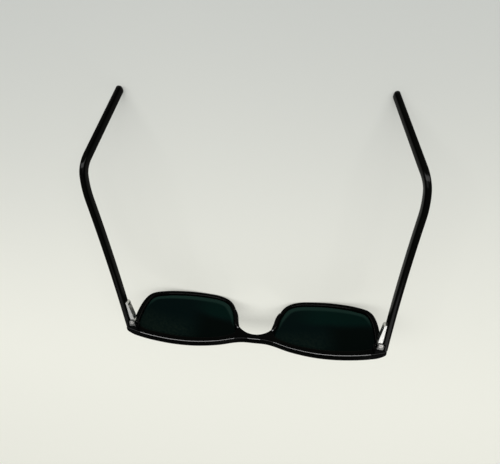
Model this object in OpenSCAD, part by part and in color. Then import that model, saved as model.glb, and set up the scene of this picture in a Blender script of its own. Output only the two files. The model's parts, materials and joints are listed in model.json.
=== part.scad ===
// Full-rim plastic sunglasses with sprung hinges, standing on rim bottoms and temple tips.
// +X is the wearer's left, -Y is where the wearer looks, +Z is up.
// The origin is on the surface that they stand on, under the middle of the bridge's back face.

/* [Lenses] */
// Width of one lens opening
lens_w = 54.8; // [48:0.2:58]
// Height of one lens opening
lens_h = 34.8; // [28:0.2:40]
// Gap between the two lens openings
lens_gap = 22; // [18:0.5:28]
// Thickness of a lens
lens_t = 2.0; // [1.6:0.1:2.4]
// How far a lens lies in front of the rim's back face
lens_set = 1.2; // [0.8:0.1:1.6]
// Depth of the groove that holds a lens
groove_d = 0.8; // [0.4:0.1:1.2]
// Width of the tongue on a lens's edge
tongue_w = 1.0; // [0.6:0.1:1.4]

/* [Front] */
// Width of the rim round a lens
rim_w = 2.6; // [2:0.1:4]
// Width of the rim beside the nose
nose_rim_w = 2.1; // [1.8:0.1:4]
// Depth of the front, from its back face to its outer face
front_d = 4.6; // [4:0.1:6]
// Radius of the curve that the front follows round the face
wrap_r = 229; // [180:1:400]
// Lean of the front against the temples
front_tilt = 7.3; // [2:0.1:12]
// Height of the brow over the lens openings at its outer end
brow_h = 3.3; // [2.5:0.1:6]
// How far the bridge's top lies below the brow's top
bridge_drop = 10.1; // [6:0.1:14]
// Height of the bridge at its middle
bridge_h = 3.6; // [3:0.1:8]
// Radius of the arch under the bridge
nose_r = 12; // [9:0.1:14]
// How far the end piece reaches past the lens opening
end_reach = 4.1; // [3.6:0.1:8]
// Height of the end piece
end_h = 8.0; // [7:0.1:12]
// Size of the chamfer on the end piece's outer corner
end_chamfer = 2.4; // [1:0.1:3]

/* [Nose pads] */
// How far a nose pad stands behind the rim
pad_proud = 1.8; // [1:0.1:4]
// Width of a nose pad
pad_w = 2.8; // [2:0.1:4]

/* [Temples] */
// Length of the temple before its bend
temple_run = 88.2; // [75:0.2:105]
// Length of the tip after the bend
tip_run = 40.6; // [30:0.2:50]
// Radius of the bend over the ear
bend_r = 16.5; // [12:0.5:25]
// Angle of the bend over the ear
bend_deg = 43; // [30:1:55]
// Outward angle of an open temple at its hinge
splay_deg = 7.4; // [0:0.1:9]
// Extra outward angle gained along the straight run
bow_deg = 4.2; // [0:0.1:8]
// Angle by which the tip turns inward
tip_in_deg = 26.5; // [0:0.5:35]
// Upward angle of a temple, against the front's own frame
rise_deg = 0.85; // [-2:0.05:3]
// Thickness of a temple at its hinge
temple_t = 3.2; // [3:0.1:4.5]
// Thickness of a temple at its end
tip_t = 2.7; // [2.2:0.1:4]
// Height of a temple at its hinge
temple_h = 5.4; // [5:0.1:8]
// How far the top of a temple lies below the crest of the brow
temple_down = 0.5; // [0:0.1:1.5]
// Height of a temple along its run
run_h = 4.4; // [3.8:0.1:7]
// Height of a temple at its end
tip_h = 4.2; // [3.4:0.1:7]
// How far the wearer's left temple is folded in as it stands
left_rest_deg = 4.1; // [0:0.1:6]

/* [Core wires] */
// Thickness of the flat core wire
core_t = 1.2; // [0.8:0.1:1.4]
// Height of the flat core wire
core_h = 1.8; // [1:0.1:2.2]
// Plastic left past the end of a core wire
core_end = 9; // [5:1:20]

/* [Hinges] */
// Outer radius of a knuckle
knuckle_r = 1.6; // [1.5:0.05:1.7]
// Height of the three knuckles together
stack_h = 3.8; // [3.6:0.1:4.4]
// How far the middle of the hinge lies above the middle of the temple's end
hinge_up = 0.35; // [0:0.05:0.5]
// Height of the middle knuckle, which is the slider's eye
eye_h = 1.6; // [1.2:0.1:2]
// Radius of a hinge screw's shank
screw_r = 0.7; // [0.5:0.05:0.8]
// Radius of a hinge screw's head
head_r = 1.15; // [1:0.05:1.3]
// Height of a hinge screw's head
head_h = 0.4; // [0.3:0.05:0.6]
// How far the hinge axis lies behind the end of the temple
hinge_back = 2.3; // [2.1:0.05:3]
// Length of the housing on a temple
housing_l = 11.2; // [10:0.1:14]
// Height of the housing on a temple
housing_h = 3.2; // [3:0.1:4]
// How far the housing stands inside the temple's inner face, near the knuckles
housing_proud = 2.2; // [2:0.05:2.6]
// How far the housing stands inside the temple's inner face, at its far end
housing_low = 1.2; // [0.8:0.05:1.6]
// How far the housing is sunk in the temple
housing_sunk = 1.2; // [1:0.05:1.4]
// Radius of the slider's rod
rod_r = 0.45; // [0.35:0.05:0.5]
// Diameter of the spring's wire
spring_wire = 0.3; // [0.2:0.02:0.32]
// Number of turns of the spring
spring_turns = 9; // [6:1:11]
// How far a temple can be pulled off the slider
flex = 1.2; // [0.6:0.1:1.4]

/* [Clearances] */
// Gap between pieces that are pressed or bonded together
seat_gap = 0.03; // [0.02:0.01:0.05]
// Radial gap between a hinge screw and the eye that turns on it
pin_gap = 0.04; // [0.02:0.01:0.08]
// Gap between knuckles, and between a temple's end and the front
run_gap = 0.06; // [0.05:0.01:0.1]

/* [Hidden] */
$fn = 48;

// Steps between two points of an outline
smooth_n = 5;
// Steps along a temple, and round its end
path_n = 64;
tip_n = 6;
// Length by which a cut passes a face
over = 1;
// A length past any piece
far = 120;

// Height of the lens openings' top in the front's own frame
eye_top = -2.5;
// Lens opening as percentages of its width, from the nose, and of its height, from the top
eye_shape = [[0, -39], [3.5, -51], [6, -68], [13, -90], [24, -99], [39, -100], [56, -97],
             [71, -91], [84, -83], [95.5, -71], [99.5, -52], [100, -24], [98, -5.5], [89.5, 0],
             [71, -0.5], [53, -3], [35, -8], [18, -15], [5.5, -23.5], [0.7, -30]];
// Middle of a nose pad as percentages of a lens opening, its offset, and the slope of its back
pad_shape = [[0.4, -36], [3.2, -49], [5.2, -64], [8.2, -77]];
pad_off = 0.2;
pad_slope_deg = 35;
pad_low = 0.2;
// Brow's top as percentages of the half width, and of the drop from its crest to the bridge
brow_shape = [[0, -100], [9, -99], [17, -86], [29, -56], [46, -26], [63, -8], [80, 0], [91, 0],
              [100, -4]];

// Share of a lens opening's width over which the rim widens, from the nose
nose_share = 0.3;

bend_len = bend_r * bend_deg * PI / 180;
temple_len = temple_run + bend_len + tip_run;
step = temple_len / path_n;
// Share of the straight run after which the temple starts to turn inward
turn_start = 0.85;
// Length over which the height falls from temple_h to run_h
fall_len = 15;

half_w = lens_gap / 2 + lens_w + end_reach;
brow_top = eye_top + brow_h;
bridge_low = brow_top - bridge_drop - bridge_h;
end_low = brow_top - end_h;
tongue_set = lens_set + (lens_t - tongue_w) / 2;

// Outer face of a temple, from the hinge axis
temple_out = temple_t + (housing_proud - housing_sunk) / 2;
inner_face = temple_out - temple_t;
// Outer back corner of the front, where the temple's end lies
front_corner = [half_w, wrap_y(half_w)];
hinge_at = front_corner - turn2([temple_out, -hinge_back], -splay_deg);
// Height that the end piece gains from the front's lean
end_lift = wrap_y(half_w) * sin(front_tilt);
hinge_z = brow_top - temple_down - temple_h / 2 + hinge_up + end_lift;

// Hinge leaf let into the end piece: reach towards the nose, thickness, and its anchor
leaf_in = knuckle_r + 0.1;
leaf_t = 1.0;
anchor_l = 1.8;
anchor_half = 1.0;
// Block behind the end piece that the leaf is let into: plastic beside and under the leaf, and its depth
block_side = 1.2;
block_under = 0.9;
block_d = 3.5;
// Heights over the end piece's bottom at which its outer corner is cut, and the width of that cut
end_cut_hi = 3;
end_cut_lo = 0.6;
end_cut_w = 1.5;
// How far the plate under the brow reaches below the bridge
web_h = 5;

// Length of the bar that stays in the housing's mouth when the temple is pulled
bar_hold = 0.8;
bar_w = 1.5;
bar_gap = 0.1;
// Housing: its start, the slider's mouth, the wall in front of the spring, and the spring's chamber
housing_y = knuckle_r + 0.15;
mouth_l = flex + bar_hold;
wall_l = 1.0;
back_wall = 1.5;
spare_l = 0.6;
slide_gap = 0.08;
spring_r = rod_r + slide_gap + spring_wire / 2;
chamber_r = spring_r + spring_wire / 2 + slide_gap;
spring_y = housing_y + mouth_l + wall_l;
stop_l = 0.8;
chamber_end = housing_y + housing_l - back_wall;
stop_y = chamber_end - spare_l - stop_l;
// Slope at the housing's front, and the step and rounding at its back
slope_y = 2;
step_y = 0.8;
back_x = 0.4;
// Notch in a temple beside the knuckles
notch_x = knuckle_r + 0.3;
// Overlap of the core wire's bore with the housing's seat, and the wire's gap behind the housing
bore_lap = 1;
wire_gap = 0.4;
// Slot in a screw's head
slot_w = 0.3;
slot_d = 0.2;
// Spring: steps in a turn, sides of its wire, and its gap at each end
turn_n = 10;
wire_n = 6;
end_gap = 0.05;

function clip(v, lo, hi) = min(max(v, lo), hi);
function mix(a, b, k) = a + (b - a) * k;
function turn2(p, deg) = [p[0] * cos(deg) - p[1] * sin(deg), p[0] * sin(deg) + p[1] * cos(deg)];
// Depths of the front's back face and of its outer face at x
function wrap_y(x) = wrap_r - sqrt(wrap_r * wrap_r - x * x);
function face_y(x) = wrap_r - sqrt(pow(wrap_r + front_d, 2) - x * x);
function unit(v) = v / norm(v);

// Point at k between b and c of a smooth curve through a, b, c and d
function curve(a, b, c, d, k) =
    (2 * b + (c - a) * k + (2 * a - 5 * b + 4 * c - d) * k * k
     + (3 * b - a - 3 * c + d) * k * k * k) / 2;
function smooth_loop(p) =
    let (n = len(p))
    [for (i = [0:n - 1]) for (j = [0:smooth_n - 1])
        curve(p[(i + n - 1) % n], p[i], p[(i + 1) % n], p[(i + 2) % n], j / smooth_n)];
function smooth_line(p) =
    let (n = len(p))
    concat([for (i = [0:n - 2]) for (j = [0:smooth_n - 1])
        curve(p[max(i - 1, 0)], p[i], p[i + 1], p[min(i + 2, n - 1)], j / smooth_n)], [p[n - 1]]);
// Loop moved outward by d, with its points in anticlockwise order
function grown(p, d) =
    let (n = len(p))
    [for (i = [0:n - 1])
        let (t = unit(p[(i + 1) % n] - p[(i + n - 1) % n])) p[i] + d * [t[1], -t[0]]];

// Point of the front from percentages of a lens opening's width and height
function eye_point(q) = [lens_gap / 2 + q[0] / 100 * lens_w, eye_top + q[1] / 100 * lens_h];
function eye_loop(d) = grown(smooth_loop([for (q = eye_shape) eye_point(q)]), d);
// Outer edge of a rim, which is narrower beside the nose
function rim_loop() =
    let (inner = eye_loop(0), outer = eye_loop(rim_w))
    [for (i = [0:len(inner) - 1])
        let (k = clip((inner[i][0] - lens_gap / 2) / (nose_share * lens_w), 0, 1))
        mix(inner[i], outer[i], mix(nose_rim_w / rim_w, 1, k))];
function brow_line() =
    smooth_line([for (q = brow_shape)
        [q[0] / 100 * half_w, brow_top + q[1] / 100 * bridge_drop]]);

// Direction of a temple at the length m along it, in the temple's own frame
function yaw(m) =
    bow_deg * min(m / temple_run, 1)
    - tip_in_deg * clip((m - turn_start * temple_run)
                        / (bend_len + (1 - turn_start) * temple_run), 0, 1);
function fall(m) = -bend_deg * clip((m - temple_run) / bend_len, 0, 1);
function heading(m) = [sin(yaw(m)) * cos(fall(m)), cos(yaw(m)) * cos(fall(m)), sin(fall(m))];
// Points along the top outer edge of a temple
edge_start = [temple_out, run_gap - hinge_back, temple_h / 2 - hinge_up];
function edge_path(i = 0, at = edge_start) =
    i > path_n ? [] : concat([at], edge_path(i + 1, at + step * heading((i + 0.5) * step)));
edge = edge_path();
function edge_at(m) =
    let (i = min(floor(m / step), path_n - 1)) mix(edge[i], edge[i + 1], m / step - i);
// Lengths at which a temple's section is drawn
marks = concat([for (i = [0:path_n - 2]) i * step],
               [for (a = [0:tip_n]) temple_len - tip_h / 2 * (1 - sin(90 * a / tip_n))]);

function thick(m) = mix(temple_t, tip_t, m / temple_len);
function tall(m) =
    m < fall_len ? mix(temple_h, run_h, sin(90 * m / fall_len))
                 : mix(run_h, tip_h, (m - fall_len) / (temple_len - fall_len));
// Share of a section that the round end takes from each side
function end_round(m) =
    let (q = clip(1 - (temple_len - m) / (tip_h / 2), 0, 1)) (1 - sqrt(1 - q * q)) / 2;
// Offsets across a temple at m, from its outer face and from its top
function across(m, k) = thick(m) * mix(end_round(m), 1 - end_round(m), k);
function down(m, k) = tall(m) * mix(end_round(m), 1 - end_round(m), k);

function plan_point(m, w) =
    let (e = edge_at(m)) [e[0] - w * cos(yaw(m)), e[1] + w * sin(yaw(m))];
function side_point(m, w) =
    let (e = edge_at(m)) [e[1] + w * sin(fall(m)), e[2] - w * cos(fall(m))];

// Y and Z, in the worn frame, of a point in the frame of a hinge
function worn_yz(p, fold) =
    let (q = turn2([p[0], p[1]], fold), r = turn2([q[1], p[2]], rise_deg))
    [hinge_at[1] - q[0] * sin(splay_deg) + r[0] * cos(splay_deg), hinge_z + r[1]];
// Underside of a temple, and of a rim's outer face
function temple_yz(fold) =
    [for (m = marks)
        let (s = side_point(m, down(m, 1)))
        worn_yz([plan_point(m, thick(m) / 2)[0], s[0], s[1]], fold)];
rim_yz = [for (p = rim_loop()) turn2([face_y(p[0]), p[1]], front_tilt)];
temples_yz = concat(temple_yz(0), temple_yz(left_rest_deg));
// Lowest of some points after a turn about X
function lowest(points, deg) =
    let (z = [for (p = points) turn2(p, deg)[1]]) points[search(min(z), z)[0]];
function slope(a, b) = atan((a[1] - b[1]) / (a[0] - b[0]));
first_deg = slope(lowest(rim_yz, 0), lowest(temples_yz, 0));
rim_worn = lowest(rim_yz, -first_deg);
tip_worn = lowest(temples_yz, -first_deg);
rest_deg = slope(rim_worn, tip_worn);
rest_z = -turn2(rim_worn, -rest_deg)[1];

// Frame of the standing glasses, from the frame in which they are worn
module standing() translate([0, 0, rest_z]) rotate([-rest_deg, 0, 0]) children();

// Frame of the front, in which Z runs up its leaning face
module leaning() standing() rotate([front_tilt, 0, 0]) children();

// Frame of a hinge: Z is its axis, and Y runs back along the open temple
module at_hinge(fold = 0)
    translate([hinge_at[0], hinge_at[1], hinge_z])
        rotate([rise_deg, 0, -splay_deg]) rotate([0, 0, fold]) children();

// Frame of the worn glasses, seen from the front's own frame
module from_worn() rotate([-front_tilt, 0, 0]) children();

// The wearer's left is drawn, and mirrored for the right
module sided(left) if (left) children(); else mirror([1, 0, 0]) children();

module at_temple(left) standing() sided(left) at_hinge(left ? left_rest_deg : 0) children();

// Upright plate between two depths behind the back face, with an outline in X and Z
module shell(outline, back, front) intersection() {
    rotate([90, 0, 0]) linear_extrude(2 * far, center = true) polygon(outline);
    translate([0, wrap_r, 0]) difference() {
        cylinder(h = 2 * far, r = wrap_r + front, center = true, $fn = 200);
        cylinder(h = 3 * far, r = wrap_r + back, center = true, $fn = 200);
    }
}

// Box from its lowest and highest corners
module block(lo, hi) translate(lo) cube(hi - lo);

// Outline of the brow, the end piece and the bridge
function brow_plate() =
    concat(brow_line(), [[half_w, end_low + end_cut_hi], [half_w - end_cut_w, end_low + end_cut_lo],
                         [half_w - 2 * end_cut_w, end_low], [lens_gap, end_low],
                         [lens_gap / 2, bridge_low - web_h], [0, bridge_low - web_h]]);

module front_half() difference() {
    union() {
        shell(brow_plate(), 0, front_d);
        shell(rim_loop(), 0, front_d);
        intersection() {
            from_worn() at_hinge()
                block([-leaf_in - block_side, -hinge_back - block_d, -stack_h / 2 - block_under],
                      [temple_out, -hinge_back, temple_h / 2 - hinge_up]);
            translate([0, wrap_r, 0])
                cylinder(h = 2 * far, r = wrap_r + front_d / 2, center = true, $fn = 200);
        }
    }
    shell(eye_loop(0), -over - block_d, front_d + over);
    shell(eye_loop(groove_d), tongue_set - seat_gap, tongue_set + tongue_w + seat_gap);
    translate([0, 0, bridge_low - nose_r]) rotate([90, 0, 0])
        cylinder(h = far, r = nose_r, center = true);
    translate([half_w, wrap_y(half_w) - front_d, 0]) rotate([0, 0, -45])
        block([-end_chamfer / sqrt(2), -far, -far], [far, far, far]);
    from_worn() at_hinge() {
        block([-leaf_in - block_side, -hinge_back, -far], [far, far, far]);
        leaf_plate(seat_gap);
    }
}

module front_frame() color([0.02, 0.02, 0.02]) leaning() {
    front_half();
    mirror([1, 0, 0]) front_half();
}

module lens(left) color([0.03, 0.12, 0.1, 0.9]) leaning() sided(left) {
    shell(eye_loop(-seat_gap), lens_set, lens_set + lens_t);
    shell(eye_loop(groove_d - seat_gap), tongue_set, tongue_set + tongue_w);
}

// Pad that follows the rim beside the nose, with round ends
function pad_loop() =
    let (line = [for (q = pad_shape) eye_point(q) - [nose_rim_w / 2 + pad_off, 0]],
         mid = smooth_line(line), n = len(mid) - 1,
         half = [for (i = [0:n]) pad_w / 2 * sqrt(1 - pow(2 * i / n - 1, 4))])
    concat([for (i = [0:n]) mid[i] - [half[i], 0]], [for (i = [n - 1:-1:1]) mid[i] + [half[i], 0]]);

module nose_pad(left) color([0.03, 0.03, 0.03]) leaning() sided(left)
    difference() {
        shell(pad_loop(), -pad_proud, -seat_gap);
        translate([lens_gap / 2 - nose_rim_w / 2, 0, 0]) rotate([0, 0, pad_slope_deg])
            translate([-far, pad_proud - pad_low, -far]) cube(2 * far);
    }

module temple_bar() {
    n = len(marks) - 1;
    intersection() {
        translate([0, 0, -far]) linear_extrude(2 * far)
            polygon(concat([for (m = marks) plan_point(m, across(m, 0))],
                           [for (i = [n - 1:-1:0]) plan_point(marks[i], across(marks[i], 1))]));
        rotate([90, 0, 90]) linear_extrude(2 * far, center = true)
            polygon(concat([for (m = marks) side_point(m, down(m, 0))],
                           [for (i = [n - 1:-1:0]) side_point(marks[i], down(marks[i], 1))]));
    }
}

module temple(left) color([0.03, 0.03, 0.03]) at_temple(left) difference() {
    temple_bar();
    block([-far, -far, -far], [notch_x, housing_y, far]);
    housing_body(seat_gap);
    core_band(core_t / 2 + seat_gap, core_h / 2 + seat_gap, housing_y + housing_l - bore_lap);
}

// Flat band along the middle of a temple, from y on
module core_band(half_t, half_h, y) {
    first = ceil(y / step) + 1;
    last = floor((temple_len - core_end) / step);
    run = [for (i = [first:last]) i * step];
    back = [for (i = [last:-1:first]) i * step];
    intersection() {
        translate([0, 0, -far]) linear_extrude(2 * far)
            polygon(concat([for (m = run) plan_point(m, thick(m) / 2 - half_t)],
                           [for (m = back) plan_point(m, thick(m) / 2 + half_t)]));
        rotate([90, 0, 90]) linear_extrude(2 * far, center = true)
            polygon(concat([for (m = run) side_point(m, tall(m) / 2 - half_h)],
                           [for (m = back) side_point(m, tall(m) / 2 + half_h)]));
    }
}

module core_wire(left) color([0.6, 0.6, 0.6]) at_temple(left)
    core_band(core_t / 2, core_h / 2, housing_y + housing_l + wire_gap);

module leaf_plate(gap) {
    block([-leaf_in - gap, -hinge_back - leaf_t - gap, -stack_h / 2 - gap],
          [knuckle_r + gap, -hinge_back + gap, stack_h / 2 + gap]);
    block([-anchor_half - gap, -hinge_back - leaf_t - anchor_l - gap, -anchor_half - gap],
          [anchor_half + gap, -hinge_back, anchor_half + gap]);
}

module front_hinge_leaf(left) color([0.75, 0.75, 0.75]) standing() sided(left) at_hinge()
    difference() {
        union() {
            leaf_plate(0);
            translate([0, 0, -stack_h / 2]) cylinder(h = stack_h, r = knuckle_r);
            block([-knuckle_r, -hinge_back, -stack_h / 2], [knuckle_r, 0, stack_h / 2]);
        }
        block([-far, -hinge_back, -eye_h / 2 - run_gap], [far, far, eye_h / 2 + run_gap]);
        cylinder(h = far, r = screw_r + seat_gap, center = true);
        translate([0, 0, stack_h / 2 - head_h - seat_gap]) cylinder(h = over, r = head_r + seat_gap);
    }

module housing_body(gap) {
    back = housing_y + housing_l;
    low_x = inner_face - housing_low;
    high_x = inner_face - housing_proud;
    sunk_x = inner_face + housing_sunk;
    translate([0, 0, -housing_h / 2 - gap]) linear_extrude(housing_h + 2 * gap)
        polygon([[sunk_x + gap, housing_y - gap], [sunk_x + gap, back + gap],
                 [inner_face - back_x - gap, back + gap], [low_x - gap, back - step_y],
                 [low_x - gap, back - slope_y],
                 [high_x - gap, housing_y + slope_y], [high_x - gap, housing_y - gap]]);
}

module hinge_housing(left) color([0.75, 0.75, 0.75]) at_temple(left) difference() {
    housing_body(0);
    block([-bar_w / 2 - pin_gap, 0, -eye_h / 2 - pin_gap],
          [bar_w / 2 + pin_gap, housing_y + mouth_l, eye_h / 2 + pin_gap]);
    rotate([-90, 0, 0]) cylinder(h = spring_y + over, r = rod_r + pin_gap);
    translate([0, spring_y, 0]) rotate([-90, 0, 0])
        cylinder(h = chamber_end - spring_y, r = chamber_r);
    block([0, spring_y, -chamber_r], [far, chamber_end, chamber_r]);
}

module hinge_slider(left) color([0.7, 0.7, 0.7]) at_temple(left) difference() {
    union() {
        translate([0, 0, -eye_h / 2]) cylinder(h = eye_h, r = knuckle_r);
        block([-bar_w / 2, 0, -eye_h / 2], [bar_w / 2, housing_y + mouth_l - bar_gap, eye_h / 2]);
        rotate([-90, 0, 0]) cylinder(h = stop_y + stop_l, r = rod_r);
    }
    cylinder(h = far, r = screw_r + pin_gap, center = true);
}

module slider_stop(left) color([0.6, 0.6, 0.6]) at_temple(left)
    translate([0, stop_y, 0]) rotate([-90, 0, 0]) difference() {
        cylinder(h = stop_l, r = chamber_r - slide_gap);
        translate([0, 0, -over]) cylinder(h = stop_l + 2 * over, r = rod_r + seat_gap);
    }

// Tube of the spring's wire, as rings of points along a helix
module hinge_spring(left) color([0.5, 0.5, 0.5]) at_temple(left) {
    half_wire = spring_wire / 2;
    rings = turn_n * spring_turns;
    start = spring_y + half_wire + end_gap;
    length = stop_y - half_wire - end_gap - start;
    points = [for (i = [0:rings]) for (j = [0:wire_n - 1])
        let (a = 360 * i / turn_n, b = 360 * j / wire_n, r = spring_r + half_wire * cos(b))
        [r * cos(a), start + length * i / rings + half_wire * sin(b), r * sin(a)]];
    walls = [for (i = [0:rings - 1]) for (j = [0:wire_n - 1])
        let (p = i * wire_n + j, q = i * wire_n + (j + 1) % wire_n)
        each [[p, q, q + wire_n], [p, q + wire_n, p + wire_n]]];
    last = rings * wire_n;
    ends = [for (j = [1:wire_n - 2]) each [[0, j + 1, j], [last, last + j, last + j + 1]]];
    polyhedron(points, concat(walls, ends));
}

module hinge_screw(left) color([0.8, 0.8, 0.8]) standing() sided(left) at_hinge()
    difference() {
        union() {
            translate([0, 0, -stack_h / 2]) cylinder(h = stack_h - head_h, r = screw_r);
            translate([0, 0, stack_h / 2 - head_h]) cylinder(h = head_h, r = head_r);
        }
        block([-far, -slot_w / 2, stack_h / 2 - slot_d], [far, slot_w / 2, far]);
    }

front_frame();
lens(true);  // lens_left
lens(false);  // lens_right
nose_pad(true);  // nose_pad_left
nose_pad(false);  // nose_pad_right
temple(true);  // temple_left
temple(false);  // temple_right
core_wire(true);  // core_wire_left
core_wire(false);  // core_wire_right
front_hinge_leaf(true);  // front_hinge_leaf_left
front_hinge_leaf(false);  // front_hinge_leaf_right
hinge_housing(true);  // hinge_housing_left
hinge_housing(false);  // hinge_housing_right
hinge_slider(true);  // hinge_slider_left
hinge_slider(false);  // hinge_slider_right
slider_stop(true);  // slider_stop_left
slider_stop(false);  // slider_stop_right
hinge_spring(true);  // hinge_spring_left
hinge_spring(false);  // hinge_spring_right
hinge_screw(true);  // hinge_screw_left
hinge_screw(false);  // hinge_screw_right

echo(hinge_at = hinge_at, hinge_z = hinge_z, rest_deg = rest_deg, rest_z = rest_z, half_w = half_w);
echo(tip_worn = tip_worn, rim_worn = rim_worn, spring_y = spring_y, stop_y = stop_y);
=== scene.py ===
# Looks of full-rim plastic sunglasses with sprung hinges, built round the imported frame.
# Shapes are worked out in millimetres, in the front's own frame or in a hinge's frame,
# and put into the row frame in metres.
import json
import math

import bmesh
import bpy
import numpy as np
from mathutils import Matrix, Vector
from mathutils.geometry import delaunay_2d_cdt


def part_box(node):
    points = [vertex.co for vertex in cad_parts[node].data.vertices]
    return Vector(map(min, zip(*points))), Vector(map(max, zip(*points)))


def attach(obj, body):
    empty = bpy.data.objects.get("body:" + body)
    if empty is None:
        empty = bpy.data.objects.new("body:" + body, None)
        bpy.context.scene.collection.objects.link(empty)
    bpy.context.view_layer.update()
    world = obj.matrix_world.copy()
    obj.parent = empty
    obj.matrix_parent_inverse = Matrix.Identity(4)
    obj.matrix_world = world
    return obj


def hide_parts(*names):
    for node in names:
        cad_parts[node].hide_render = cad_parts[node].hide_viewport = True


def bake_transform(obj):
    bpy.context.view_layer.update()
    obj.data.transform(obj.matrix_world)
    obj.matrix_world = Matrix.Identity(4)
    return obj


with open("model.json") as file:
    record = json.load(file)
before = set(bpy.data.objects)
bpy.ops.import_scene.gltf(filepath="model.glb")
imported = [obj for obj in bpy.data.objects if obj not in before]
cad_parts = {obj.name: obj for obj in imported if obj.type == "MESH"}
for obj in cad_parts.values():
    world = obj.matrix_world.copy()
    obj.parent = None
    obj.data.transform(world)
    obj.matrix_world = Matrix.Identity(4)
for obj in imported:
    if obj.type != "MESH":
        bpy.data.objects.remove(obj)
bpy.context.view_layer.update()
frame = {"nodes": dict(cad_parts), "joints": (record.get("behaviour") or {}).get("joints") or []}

MM = 0.001
# Distance in metres at which points count as one
TOUCHING = 1e-6
# The wearer's sides, and their direction in X
SIDES = {"left": 1, "right": -1}

# Lenses and front, as in the part's source
LENS_W, LENS_H, LENS_GAP = 54.8, 34.8, 22.0
LENS_T, LENS_SET = 2.0, 1.2
GROOVE_D, TONGUE_W = 0.8, 1.0
SEAT_GAP = 0.03
RIM_W, NOSE_RIM_W, NOSE_SHARE = 2.6, 2.1, 0.3
FRONT_D, WRAP_R, FRONT_TILT = 4.6, 229.0, 7.3
BROW_H, BRIDGE_DROP, BRIDGE_H, NOSE_R = 3.3, 10.1, 3.6, 12.0
END_REACH, END_H, END_CHAMFER = 4.1, 8.0, 2.4
END_CUT = [(0.0, 3.0), (1.5, 0.6), (3.0, 0.0)]
WEB_H = 5.0
EYE_TOP = -2.5
EYE_SHAPE = [(0, -39), (3.5, -51), (6, -68), (13, -90), (24, -99), (39, -100), (56, -97),
             (71, -91), (84, -83), (95.5, -71), (99.5, -52), (100, -24), (98, -5.5),
             (89.5, 0), (71, -0.5), (53, -3), (35, -8), (18, -15), (5.5, -23.5), (0.7, -30)]
BROW_SHAPE = [(0, -100), (9, -99), (17, -86), (29, -56), (46, -26), (63, -8), (80, 0),
              (91, 0), (100, -4)]
PAD_SHAPE = [(0.4, -36), (3.2, -49), (5.2, -64), (8.2, -77)]
PAD_OFF, PAD_W, PAD_PROUD = 0.2, 2.8, 1.8
PAD_SLOPE, PAD_LOW = math.radians(35), 0.2

# Temples and hinges, as in the part's source
TEMPLE_RUN, TIP_RUN, BEND_R, BEND_DEG = 88.2, 40.6, 16.5, 43.0
SPLAY, BOW_DEG, TIP_IN_DEG, RISE = math.radians(7.4), 4.2, 26.5, math.radians(0.85)
TEMPLE_T, TIP_T = 3.2, 2.7
TEMPLE_H, RUN_H, TIP_H, FALL_LEN, TURN_START = 5.4, 4.4, 4.2, 15.0, 0.85
TEMPLE_DOWN, HINGE_UP, HINGE_BACK, RUN_GAP = 0.5, 0.35, 2.3, 0.06
HOUSING_PROUD, HOUSING_SUNK = 2.2, 1.2
KNUCKLE_R, STACK_H = 1.6, 3.8
HOUSING_GAP, NOTCH_GAP = 0.15, 0.3
LEAF_SIDE, BLOCK_SIDE, BLOCK_UNDER, BLOCK_D = 0.1, 1.2, 0.9, 3.5

# Roundings and bevels that the part's source doesn't have
RIM_BACK_R, RIM_FACE_R, EYE_BACK_R, EYE_FACE_R = 0.8, 1.5, 0.45, 0.6
EDGE_R, END_R, NOTCH_R = 0.8, 0.2, 0.12
LENS_BEVEL, LENS_FACE_R = 0.5, 0.25
# Chamfer of the end pieces: how far from their tips it begins, the length over which it takes
# full effect, and how softly its edge is rounded
CHAMFER_REACH, CHAMFER_FADE, CHAMFER_SOFT = 10.0, 3.0, 1.6
# How much lower an end block's top is than the temple's
BLOCK_LOW = 0.2
# A block sinks into the front by twice COVER. From COVER_BACK deep on, it draws in until it
# is COVER inside the front's end, and COVER_UP and COVER together under its top.
COVER, COVER_UP, COVER_BACK = 0.6, 0.4, 0.1
# How far a pad reaches into the rim, and how softly its top turns into its slope
PAD_SUNK, PAD_SOFT = 0.3, 1.0

# Distances between points along the outlines and over the flat faces
EYE_STEP, FRONT_STEP, BLOCK_STEP, FACE_STEP, LENS_STEP = 0.5, 0.4, 0.25, 3.0, 1.2
# Points to each side over which the front's outline, and the rings inside it, turn a corner
FRONT_SOFT, FRONT_EASE = 3, 9
# Steps in a small rounded end, and degrees over which the arch over the nose is drawn, with
# the step between its points
END_STEPS, ARCH_DEG, ARCH_STEP = 4, 120, 1.5
# Depth of the ring in the front's side wall, as a share of the front's
WALL_RING = 0.4

half_w = LENS_GAP / 2 + LENS_W + END_REACH
brow_top = EYE_TOP + BROW_H
bridge_low = brow_top - BRIDGE_DROP - BRIDGE_H
end_low = brow_top - END_H
tongue_set = LENS_SET + (LENS_T - TONGUE_W) / 2
temple_out = TEMPLE_T + (HOUSING_PROUD - HOUSING_SUNK) / 2
leaf_in = KNUCKLE_R + LEAF_SIDE


def mix(a, b, k):
    return a + (b - a) * k


def clip(v, lo, hi):
    return min(max(v, lo), hi)


def turn2(x, y, angle):
    return (x * math.cos(angle) - y * math.sin(angle),
            x * math.sin(angle) + y * math.cos(angle))


def wrap_y(x, depth=0.0):
    """Place in Y of the surface that lies depth in front of the front's back face."""
    return WRAP_R - math.sqrt((WRAP_R + depth) ** 2 - x * x)


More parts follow.
